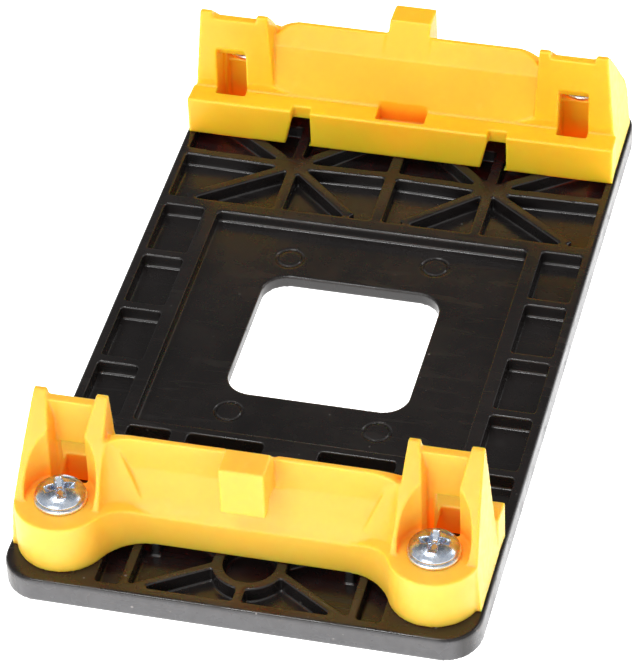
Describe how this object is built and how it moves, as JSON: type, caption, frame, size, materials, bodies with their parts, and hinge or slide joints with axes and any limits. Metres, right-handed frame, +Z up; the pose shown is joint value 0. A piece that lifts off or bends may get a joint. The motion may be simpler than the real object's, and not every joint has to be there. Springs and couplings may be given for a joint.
{
  "type": "processor cooler mounting set",
  "caption": "Ribbed plastic backplate with a square window and a pair of upright plastic retention brackets screwed across its ends to hold a processor cooler.",
  "frame": {"origin": "centre of the 48 x 96 mm screw pattern, on the underside of the backplate", "axes": "+X along the brackets, +Y along the length of the backplate, +Z up, away from the backplate"},
  "size_m": [0.0616, 0.11, 0.0219],
  "materials": {
    "plate_plastic": "semi-gloss black moulded plastic",
    "bracket_plastic": "satin yellow moulded plastic",
    "screw_zinc": "bright zinc plating",
    "washer_zinc": "bright zinc plating",
    "insert_metal": "nickel plated steel"
  },
  "bodies": {
    "base": {"backplate": "plate_plastic", "insert_front_left": "insert_metal", "insert_front_right": "insert_metal", "insert_rear_left": "insert_metal", "insert_rear_right": "insert_metal"},
    "front_bracket": {"front_bracket": "bracket_plastic"},
    "rear_bracket": {"rear_bracket": "bracket_plastic"},
    "washer_front_left": {"washer_front_left": "washer_zinc"},
    "screw_front_left": {"screw_front_left": "screw_zinc"},
    "washer_front_right": {"washer_front_right": "washer_zinc"},
    "screw_front_right": {"screw_front_right": "screw_zinc"},
    "washer_rear_left": {"washer_rear_left": "washer_zinc"},
    "screw_rear_left": {"screw_rear_left": "screw_zinc"},
    "washer_rear_right": {"washer_rear_right": "washer_zinc"},
    "screw_rear_right": {"screw_rear_right": "screw_zinc"}
  },
  "joints": [
    {"name": "front_bracket_lift", "type": "slide", "parent": "base", "child": "front_bracket", "axis": [0, 0, 1], "range_m": [0, 0.03]},
    {"name": "rear_bracket_lift", "type": "slide", "parent": "base", "child": "rear_bracket", "axis": [0, 0, 1], "range_m": [0, 0.03]},
    {"name": "screw_front_left_back_out", "type": "slide", "parent": "front_bracket", "child": "washer_front_left", "axis": [0, 0, 1], "range_m": [0, 0.0048]},
    {"name": "screw_front_left_turn", "type": "hinge", "parent": "washer_front_left", "child": "screw_front_left", "pos_m": [-0.024, -0.048, 0.0112], "axis": [0, 0, 1], "range_deg": [0, 2190]},
    {"name": "screw_front_right_back_out", "type": "slide", "parent": "front_bracket", "child": "washer_front_right", "axis": [0, 0, 1], "range_m": [0, 0.0048]},
    {"name": "screw_front_right_turn", "type": "hinge", "parent": "washer_front_right", "child": "screw_front_right", "pos_m": [0.024, -0.048, 0.0112], "axis": [0, 0, 1], "range_deg": [0, 2190]},
    {"name": "screw_rear_left_back_out", "type": "slide", "parent": "rear_bracket", "child": "washer_rear_left", "axis": [0, 0, 1], "range_m": [0, 0.0048]},
    {"name": "screw_rear_left_turn", "type": "hinge", "parent": "washer_rear_left", "child": "screw_rear_left", "pos_m": [-0.024, 0.048, 0.0112], "axis": [0, 0, 1], "range_deg": [0, 2190]},
    {"name": "screw_rear_right_back_out", "type": "slide", "parent": "rear_bracket", "child": "washer_rear_right", "axis": [0, 0, 1], "range_m": [0, 0.0048]},
    {"name": "screw_rear_right_turn", "type": "hinge", "parent": "washer_rear_right", "child": "screw_rear_right", "pos_m": [0.024, 0.048, 0.0112], "axis": [0, 0, 1], "range_deg": [0, 2190]}
  ],
  "couplings": [
    {"joint": "screw_front_left_turn", "follows": "screw_front_left_back_out", "rad_per_m": 7915.3},
    {"joint": "screw_front_right_turn", "follows": "screw_front_right_back_out", "rad_per_m": 7915.3},
    {"joint": "screw_rear_left_turn", "follows": "screw_rear_left_back_out", "rad_per_m": 7915.3},
    {"joint": "screw_rear_right_turn", "follows": "screw_rear_right_back_out", "rad_per_m": 7915.3}
  ]
}
